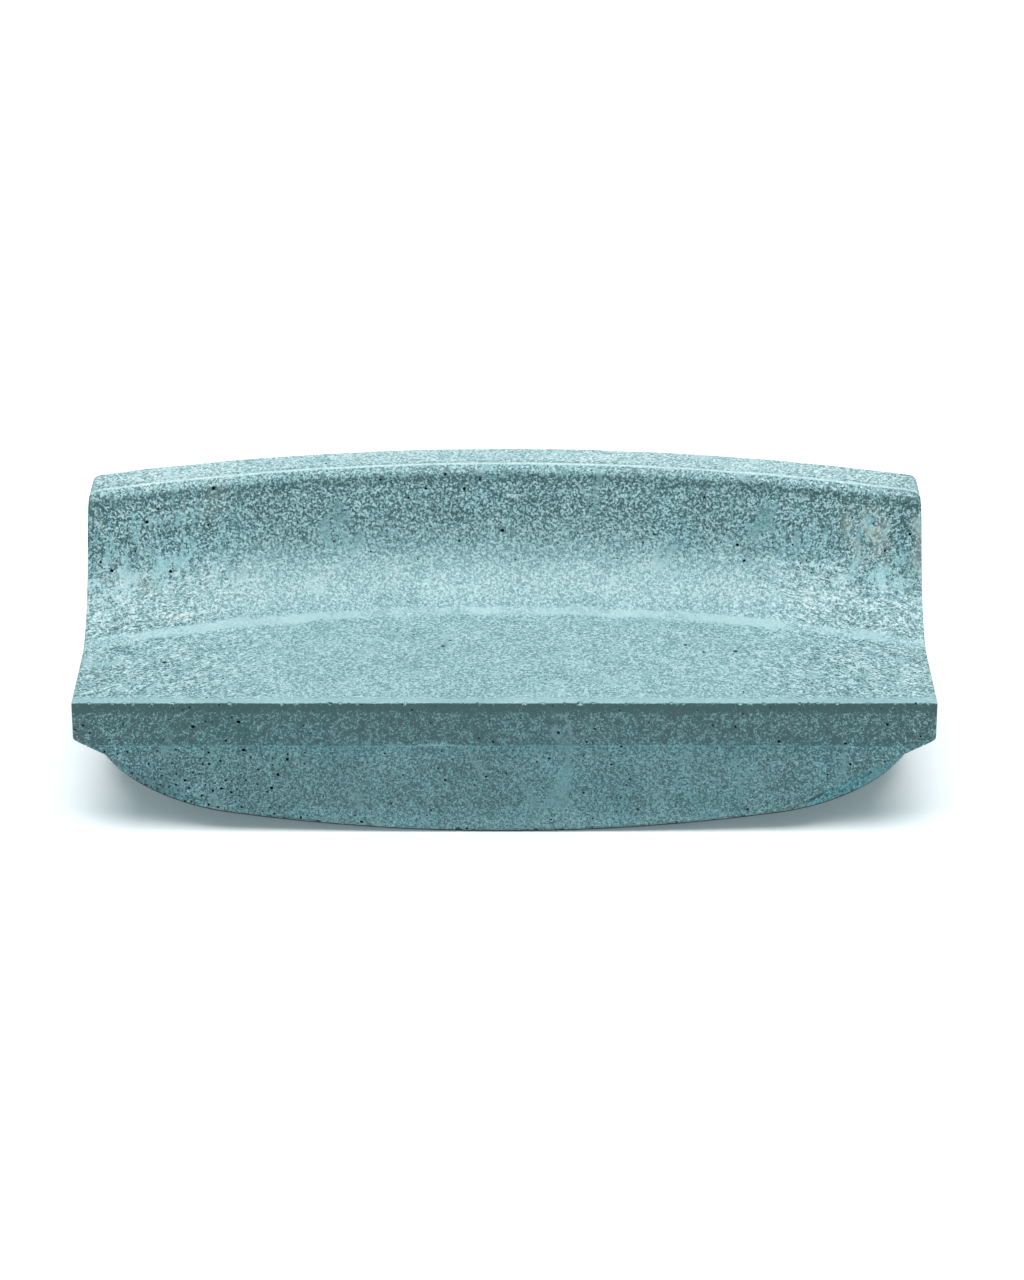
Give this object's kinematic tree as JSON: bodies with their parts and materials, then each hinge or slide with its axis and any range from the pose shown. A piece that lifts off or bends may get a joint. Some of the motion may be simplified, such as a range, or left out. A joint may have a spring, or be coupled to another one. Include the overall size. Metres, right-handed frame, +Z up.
{
  "type": "balance board",
  "caption": "Cast concrete balance board with an arched foot cove, a raised lip and a rocker base with a curved rubber-soled underside.",
  "frame": {"origin": "on the floor, under the middle of the board's length and depth", "axes": "+X along the board to the user's right as seen from the front, +Y from the front face towards the back of the lip, +Z up from the floor"},
  "size_m": [0.4, 0.168, 0.126],
  "materials": {
    "concrete": "matte",
    "sole_rubber": "matte",
    "fixing_steel": "satin",
    "bar_steel": "matte"
  },
  "bodies": {
    "root": {"deck_casting": "concrete", "rocker_casting": "concrete", "rocker_sole": "sole_rubber", "bolt_plugs": "sole_rubber", "base_bolts": "fixing_steel", "bolt_washers": "fixing_steel", "deck_inserts": "fixing_steel", "locating_dowels": "fixing_steel", "lip_bar": "bar_steel", "wall_bar": "bar_steel", "slab_bar_front": "bar_steel", "slab_bar_back": "bar_steel", "deck_stirrups": "bar_steel", "rocker_bar_front": "bar_steel", "rocker_bar_back": "bar_steel", "rocker_ties": "bar_steel"}
  },
  "joints": []
}
